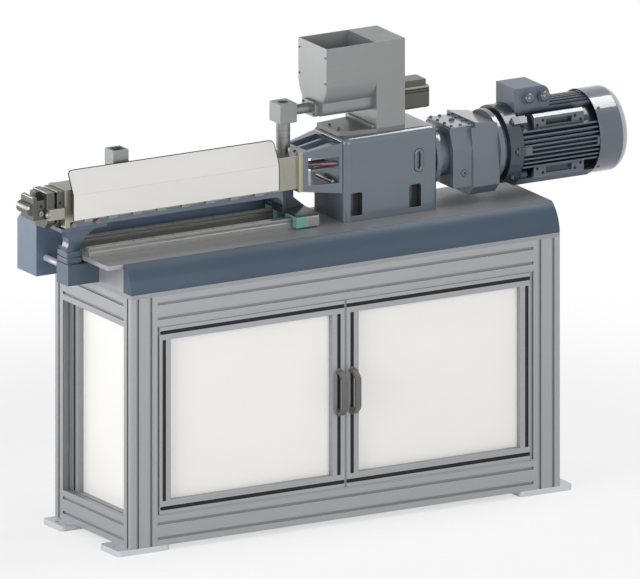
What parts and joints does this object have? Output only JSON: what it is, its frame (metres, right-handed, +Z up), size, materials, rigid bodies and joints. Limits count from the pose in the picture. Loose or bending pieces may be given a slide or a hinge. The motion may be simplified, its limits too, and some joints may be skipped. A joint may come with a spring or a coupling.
{
  "type": "plastic extruder",
  "caption": "Plastic extruder: guarded barrel with die, feeder with open hopper, gearbox and motor in line on a bed, over a slotted-profile cabinet with hinged doors.",
  "frame": {"origin": "on the floor under the middle of the cabinet, at the centre of its anchor holes", "axes": "+X along the screw line towards the drive motor, +Y from the doors to the back, +Z up"},
  "size_m": [1.782, 0.436, 1.258],
  "materials": {
    "blue_paint": "semi-gloss grey-blue paint",
    "profile": "satin anodised",
    "grey_plate": "satin",
    "white_panel": "satin white",
    "tool_steel": "ground steel",
    "stainless": "brushed stainless",
    "ground_steel": "ground",
    "teal_plastic": "moulded",
    "red_steel": "painted",
    "glass": "clear",
    "dark_motor": "matt",
    "dark_plastic": "moulded"
  },
  "bodies": {
    "machine": {"barrel": "tool_steel", "barrel_beam": "blue_paint", "barrel_cover": "white_panel", "bed_bracket": "blue_paint", "bed_frame": "grey_plate", "bed_plate": "grey_plate", "bottom_rails": "profile", "cabinet_floor": "grey_plate", "carriage_caps": "teal_plastic", "cooling_fan": "dark_plastic", "corner_posts": "profile", "coupling_housing": "blue_paint", "die_adapter": "tool_steel", "die_clamp": "tool_steel", "die_head": "tool_steel", "door_pivots": "ground_steel", "drive_housing": "stainless", "drive_shafts": "red_steel", "fan_cover": "blue_paint", "feed_block": "tool_steel", "feed_pipe": "stainless", "feeder_base": "stainless", "feeder_hopper": "stainless", "feeder_motor": "dark_motor", "feeder_tube": "stainless", "fixed_panels": "white_panel", "foot_plates": "grey_plate", "front_apron": "blue_paint", "front_pedestal": "blue_paint", "gearbox": "blue_paint", "guide_rails": "ground_steel", "lantern": "blue_paint", "motor_body": "blue_paint", "motor_flange": "blue_paint", "outlet_block": "stainless", "panel_stiles": "profile", "rail_carriages": "ground_steel", "rear_duct": "blue_paint", "rear_support": "grey_plate", "reducer": "blue_paint", "sight_glass": "glass", "table_plate": "grey_plate", "terminal_box": "blue_paint", "top_rails": "profile", "vent_stack": "stainless"},
    "left_door": {"left_door_frame": "profile", "left_door_panel": "white_panel", "left_door_handle": "dark_plastic"},
    "right_door": {"right_door_frame": "profile", "right_door_panel": "white_panel", "right_door_handle": "dark_plastic"}
  },
  "joints": [
    {"name": "left_door_hinge", "type": "hinge", "parent": "machine", "child": "left_door", "pos_m": [-0.559, -0.194, 0.354], "axis": [0, 0, -1], "range_deg": [0, 100]},
    {"name": "right_door_hinge", "type": "hinge", "parent": "machine", "child": "right_door", "pos_m": [0.559, -0.194, 0.354], "axis": [0, 0, 1], "range_deg": [0, 100]}
  ]
}
